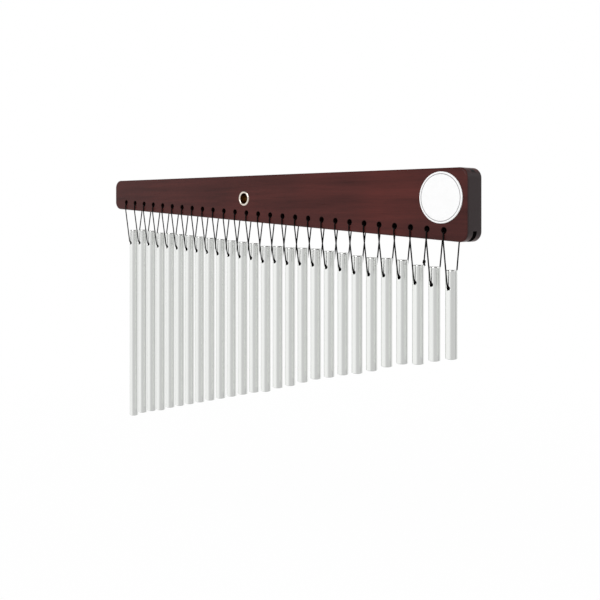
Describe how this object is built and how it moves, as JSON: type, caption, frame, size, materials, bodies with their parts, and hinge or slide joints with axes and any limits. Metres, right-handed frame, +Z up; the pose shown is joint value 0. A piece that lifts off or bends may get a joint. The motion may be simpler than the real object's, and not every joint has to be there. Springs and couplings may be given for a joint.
{
  "type": "bar chimes",
  "caption": "Wedge-shaped wooden bar with a row of graded aluminium rods hung on cord loops, swept by hand to ring, with an eyelet for a stand.",
  "frame": {"origin": "centre of the stand eyelet's bore, halfway through the bar", "axes": "+X along the bar to its tall end, where the rods are shortest; +Y to the back, along the eyelet's bore; +Z up"},
  "size_m": [0.4581, 0.023, 0.2545],
  "materials": {
    "stained_wood": "dark red-brown stain under satin lacquer",
    "nickel_eyelet": "warm nickel plate",
    "white_badge": "white with a fine grey ring, bare",
    "rod_aluminium": "bright drawn aluminium",
    "black_cord": "thin black braided cord"
  },
  "bodies": {
    "bar": {"crossbar": "stained_wood", "stand_eyelet": "nickel_eyelet", "eyelet_washer": "nickel_eyelet", "badge": "white_badge"},
    "loop_01": {"cord_loop_01": "black_cord"},
    "chime_01": {"chime_rod_01": "rod_aluminium"},
    "loop_02": {"cord_loop_02": "black_cord"},
    "chime_02": {"chime_rod_02": "rod_aluminium"},
    "loop_03": {"cord_loop_03": "black_cord"},
    "chime_03": {"chime_rod_03": "rod_aluminium"},
    "loop_04": {"cord_loop_04": "black_cord"},
    "chime_04": {"chime_rod_04": "rod_aluminium"},
    "loop_05": {"cord_loop_05": "black_cord"},
    "chime_05": {"chime_rod_05": "rod_aluminium"},
    "loop_06": {"cord_loop_06": "black_cord"},
    "chime_06": {"chime_rod_06": "rod_aluminium"},
    "loop_07": {"cord_loop_07": "black_cord"},
    "chime_07": {"chime_rod_07": "rod_aluminium"},
    "loop_08": {"cord_loop_08": "black_cord"},
    "chime_08": {"chime_rod_08": "rod_aluminium"},
    "loop_09": {"cord_loop_09": "black_cord"},
    "chime_09": {"chime_rod_09": "rod_aluminium"},
    "loop_10": {"cord_loop_10": "black_cord"},
    "chime_10": {"chime_rod_10": "rod_aluminium"},
    "loop_11": {"cord_loop_11": "black_cord"},
    "chime_11": {"chime_rod_11": "rod_aluminium"},
    "loop_12": {"cord_loop_12": "black_cord"},
    "chime_12": {"chime_rod_12": "rod_aluminium"},
    "loop_13": {"cord_loop_13": "black_cord"},
    "chime_13": {"chime_rod_13": "rod_aluminium"},
    "loop_14": {"cord_loop_14": "black_cord"},
    "chime_14": {"chime_rod_14": "rod_aluminium"},
    "loop_15": {"cord_loop_15": "black_cord"},
    "chime_15": {"chime_rod_15": "rod_aluminium"},
    "loop_16": {"cord_loop_16": "black_cord"},
    "chime_16": {"chime_rod_16": "rod_aluminium"},
    "loop_17": {"cord_loop_17": "black_cord"},
    "chime_17": {"chime_rod_17": "rod_aluminium"},
    "loop_18": {"cord_loop_18": "black_cord"},
    "chime_18": {"chime_rod_18": "rod_aluminium"},
    "loop_19": {"cord_loop_19": "black_cord"},
    "chime_19": {"chime_rod_19": "rod_aluminium"},
    "loop_20": {"cord_loop_20": "black_cord"},
    "chime_20": {"chime_rod_20": "rod_aluminium"},
    "loop_21": {"cord_loop_21": "black_cord"},
    "chime_21": {"chime_rod_21": "rod_aluminium"},
    "loop_22": {"cord_loop_22": "black_cord"},
    "chime_22": {"chime_rod_22": "rod_aluminium"},
    "loop_23": {"cord_loop_23": "black_cord"},
    "chime_23": {"chime_rod_23": "rod_aluminium"},
    "loop_24": {"cord_loop_24": "black_cord"},
    "chime_24": {"chime_rod_24": "rod_aluminium"},
    "loop_25": {"cord_loop_25": "black_cord"},
    "chime_25": {"chime_rod_25": "rod_aluminium"},
    "loop_26": {"cord_loop_26": "black_cord"},
    "chime_26": {"chime_rod_26": "rod_aluminium"},
    "loop_27": {"cord_loop_27": "black_cord"},
    "chime_27": {"chime_rod_27": "rod_aluminium"}
  },
  "joints": [
    {"name": "swing_01", "type": "hinge", "parent": "bar", "child": "loop_01", "pos_m": [-0.189, 0, -0.0039], "axis": [0, 1, 0], "range_deg": [-1.56, 45]},
    {"name": "swing_02", "type": "hinge", "parent": "bar", "child": "loop_02", "pos_m": [-0.173, 0, -0.00484], "axis": [0, 1, 0], "range_deg": [-1.59, 1.56]},
    {"name": "swing_03", "type": "hinge", "parent": "bar", "child": "loop_03", "pos_m": [-0.157, 0, -0.00577], "axis": [0, 1, 0], "range_deg": [-1.62, 1.6]},
    {"name": "swing_04", "type": "hinge", "parent": "bar", "child": "loop_04", "pos_m": [-0.141, 0, -0.00671], "axis": [0, 1, 0], "range_deg": [-1.67, 1.63]},
    {"name": "swing_05", "type": "hinge", "parent": "bar", "child": "loop_05", "pos_m": [-0.125, 0, -0.00764], "axis": [0, 1, 0], "range_deg": [-1.71, 1.68]},
    {"name": "swing_06", "type": "hinge", "parent": "bar", "child": "loop_06", "pos_m": [-0.109, 0, -0.00858], "axis": [0, 1, 0], "range_deg": [-1.76, 1.72]},
    {"name": "swing_07", "type": "hinge", "parent": "bar", "child": "loop_07", "pos_m": [-0.093, 0, -0.00952], "axis": [0, 1, 0], "range_deg": [-1.8, 1.77]},
    {"name": "swing_08", "type": "hinge", "parent": "bar", "child": "loop_08", "pos_m": [-0.077, 0, -0.01045], "axis": [0, 1, 0], "range_deg": [-1.85, 1.81]},
    {"name": "swing_09", "type": "hinge", "parent": "bar", "child": "loop_09", "pos_m": [-0.061, 0, -0.01139], "axis": [0, 1, 0], "range_deg": [-1.9, 1.86]},
    {"name": "swing_10", "type": "hinge", "parent": "bar", "child": "loop_10", "pos_m": [-0.045, 0, -0.01232], "axis": [0, 1, 0], "range_deg": [-1.96, 1.91]},
    {"name": "swing_11", "type": "hinge", "parent": "bar", "child": "loop_11", "pos_m": [-0.029, 0, -0.01326], "axis": [0, 1, 0], "range_deg": [-2.02, 1.97]},
    {"name": "swing_12", "type": "hinge", "parent": "bar", "child": "loop_12", "pos_m": [-0.013, 0, -0.0142], "axis": [0, 1, 0], "range_deg": [-2.08, 2.03]},
    {"name": "swing_13", "type": "hinge", "parent": "bar", "child": "loop_13", "pos_m": [0.003, 0, -0.01513], "axis": [0, 1, 0], "range_deg": [-2.13, 2.09]},
    {"name": "swing_14", "type": "hinge", "parent": "bar", "child": "loop_14", "pos_m": [0.019, 0, -0.01607], "axis": [0, 1, 0], "range_deg": [-2.21, 2.14]},
    {"name": "swing_15", "type": "hinge", "parent": "bar", "child": "loop_15", "pos_m": [0.035, 0, -0.017], "axis": [0, 1, 0], "range_deg": [-2.29, 2.22]},
    {"name": "swing_16", "type": "hinge", "parent": "bar", "child": "loop_16", "pos_m": [0.051, 0, -0.01794], "axis": [0, 1, 0], "range_deg": [-2.38, 2.3]},
    {"name": "swing_17", "type": "hinge", "parent": "bar", "child": "loop_17", "pos_m": [0.067, 0, -0.01888], "axis": [0, 1, 0], "range_deg": [-2.48, 2.4]},
    {"name": "swing_18", "type": "hinge", "parent": "bar", "child": "loop_18", "pos_m": [0.083, 0, -0.01981], "axis": [0, 1, 0], "range_deg": [-2.56, 2.5]},
    {"name": "swing_19", "type": "hinge", "parent": "bar", "child": "loop_19", "pos_m": [0.099, 0, -0.02075], "axis": [0, 1, 0], "range_deg": [-2.66, 2.58]},
    {"name": "swing_20", "type": "hinge", "parent": "bar", "child": "loop_20", "pos_m": [0.115, 0, -0.02168], "axis": [0, 1, 0], "range_deg": [-2.74, 2.68]},
    {"name": "swing_21", "type": "hinge", "parent": "bar", "child": "loop_21", "pos_m": [0.131, 0, -0.02262], "axis": [0, 1, 0], "range_deg": [-2.86, 2.76]},
    {"name": "swing_22", "type": "hinge", "parent": "bar", "child": "loop_22", "pos_m": [0.147, 0, -0.02356], "axis": [0, 1, 0], "range_deg": [-3.01, 2.88]},
    {"name": "swing_23", "type": "hinge", "parent": "bar", "child": "loop_23", "pos_m": [0.163, 0, -0.02449], "axis": [0, 1, 0], "range_deg": [-3.15, 3.03]},
    {"name": "swing_24", "type": "hinge", "parent": "bar", "child": "loop_24", "pos_m": [0.179, 0, -0.02543], "axis": [0, 1, 0], "range_deg": [-3.22, 3.18]},
    {"name": "swing_25", "type": "hinge", "parent": "bar", "child": "loop_25", "pos_m": [0.195, 0, -0.02636], "axis": [0, 1, 0], "range_deg": [-3.39, 3.25]},
    {"name": "swing_26", "type": "hinge", "parent": "bar", "child": "loop_26", "pos_m": [0.211, 0, -0.0273], "axis": [0, 1, 0], "range_deg": [-3.53, 3.42]},
    {"name": "swing_27", "type": "hinge", "parent": "bar", "child": "loop_27", "pos_m": [0.227, 0, -0.02824], "axis": [0, 1, 0], "range_deg": [-45, 3.56]},
    {"name": "tilt_01", "type": "hinge", "parent": "loop_01", "child": "chime_01", "pos_m": [-0.189, 0, -0.0454], "axis": [0, 1, 0], "range_deg": [-1.91, 30]},
    {"name": "tilt_02", "type": "hinge", "parent": "loop_02", "child": "chime_02", "pos_m": [-0.173, 0, -0.04494], "axis": [0, 1, 0], "range_deg": [-1.95, 1.91]},
    {"name": "tilt_03", "type": "hinge", "parent": "loop_03", "child": "chime_03", "pos_m": [-0.157, 0, -0.04587], "axis": [0, 1, 0], "range_deg": [-2, 1.96]},
    {"name": "tilt_04", "type": "hinge", "parent": "loop_04", "child": "chime_04", "pos_m": [-0.141, 0, -0.04771], "axis": [0, 1, 0], "range_deg": [-2.08, 2.02]},
    {"name": "tilt_05", "type": "hinge", "parent": "loop_05", "child": "chime_05", "pos_m": [-0.125, 0, -0.04774], "axis": [0, 1, 0], "range_deg": [-2.14, 2.08]},
    {"name": "tilt_06", "type": "hinge", "parent": "loop_06", "child": "chime_06", "pos_m": [-0.109, 0, -0.04868], "axis": [0, 1, 0], "range_deg": [-2.2, 2.15]},
    {"name": "tilt_07", "type": "hinge", "parent": "loop_07", "child": "chime_07", "pos_m": [-0.093, 0, -0.04962], "axis": [0, 1, 0], "range_deg": [-2.28, 2.22]},
    {"name": "tilt_08", "type": "hinge", "parent": "loop_08", "child": "chime_08", "pos_m": [-0.077, 0, -0.05055], "axis": [0, 1, 0], "range_deg": [-2.36, 2.29]},
    {"name": "tilt_09", "type": "hinge", "parent": "loop_09", "child": "chime_09", "pos_m": [-0.061, 0, -0.05149], "axis": [0, 1, 0], "range_deg": [-2.44, 2.37]},
    {"name": "tilt_10", "type": "hinge", "parent": "loop_10", "child": "chime_10", "pos_m": [-0.045, 0, -0.05242], "axis": [0, 1, 0], "range_deg": [-2.53, 2.46]},
    {"name": "tilt_11", "type": "hinge", "parent": "loop_11", "child": "chime_11", "pos_m": [-0.029, 0, -0.05336], "axis": [0, 1, 0], "range_deg": [-2.63, 2.55]},
    {"name": "tilt_12", "type": "hinge", "parent": "loop_12", "child": "chime_12", "pos_m": [-0.013, 0, -0.0543], "axis": [0, 1, 0], "range_deg": [-2.73, 2.65]},
    {"name": "tilt_13", "type": "hinge", "parent": "loop_13", "child": "chime_13", "pos_m": [0.003, 0, -0.05523], "axis": [0, 1, 0], "range_deg": [-2.81, 2.75]},
    {"name": "tilt_14", "type": "hinge", "parent": "loop_14", "child": "chime_14", "pos_m": [0.019, 0, -0.05747], "axis": [0, 1, 0], "range_deg": [-3, 2.87]},
    {"name": "tilt_15", "type": "hinge", "parent": "loop_15", "child": "chime_15", "pos_m": [0.035, 0, -0.0571], "axis": [0, 1, 0], "range_deg": [-3.1, 2.99]},
    {"name": "tilt_16", "type": "hinge", "parent": "loop_16", "child": "chime_16", "pos_m": [0.051, 0, -0.05804], "axis": [0, 1, 0], "range_deg": [-3.28, 3.13]},
    {"name": "tilt_17", "type": "hinge", "parent": "loop_17", "child": "chime_17", "pos_m": [0.067, 0, -0.05788], "axis": [0, 1, 0], "range_deg": [-3.43, 3.28]},
    {"name": "tilt_18", "type": "hinge", "parent": "loop_18", "child": "chime_18", "pos_m": [0.083, 0, -0.05821], "axis": [0, 1, 0], "range_deg": [-3.57, 3.44]},
    {"name": "tilt_19", "type": "hinge", "parent": "loop_19", "child": "chime_19", "pos_m": [0.099, 0, -0.05965], "axis": [0, 1, 0], "range_deg": [-3.78, 3.62]},
    {"name": "tilt_20", "type": "hinge", "parent": "loop_20", "child": "chime_20", "pos_m": [0.115, 0, -0.06078], "axis": [0, 1, 0], "range_deg": [-3.96, 3.83]},
    {"name": "tilt_21", "type": "hinge", "parent": "loop_21", "child": "chime_21", "pos_m": [0.131, 0, -0.06272], "axis": [0, 1, 0], "range_deg": [-4.26, 4.05]},
    {"name": "tilt_22", "type": "hinge", "parent": "loop_22", "child": "chime_22", "pos_m": [0.147, 0, -0.06366], "axis": [0, 1, 0], "range_deg": [-4.6, 4.31]},
    {"name": "tilt_23", "type": "hinge", "parent": "loop_23", "child": "chime_23", "pos_m": [0.163, 0, -0.06359], "axis": [0, 1, 0], "range_deg": [-4.87, 4.6]},
    {"name": "tilt_24", "type": "hinge", "parent": "loop_24", "child": "chime_24", "pos_m": [0.179, 0, -0.06443], "axis": [0, 1, 0], "range_deg": [-5.04, 4.93]},
    {"name": "tilt_25", "type": "hinge", "parent": "loop_25", "child": "chime_25", "pos_m": [0.195, 0, -0.06796], "axis": [0, 1, 0], "range_deg": [-5.68, 5.31]},
    {"name": "tilt_26", "type": "hinge", "parent": "loop_26", "child": "chime_26", "pos_m": [0.211, 0, -0.0687], "axis": [0, 1, 0], "range_deg": [-6.07, 5.75]},
    {"name": "tilt_27", "type": "hinge", "parent": "loop_27", "child": "chime_27", "pos_m": [0.227, 0, -0.07064], "axis": [0, 1, 0], "range_deg": [-30, 6.28]}
  ]
}
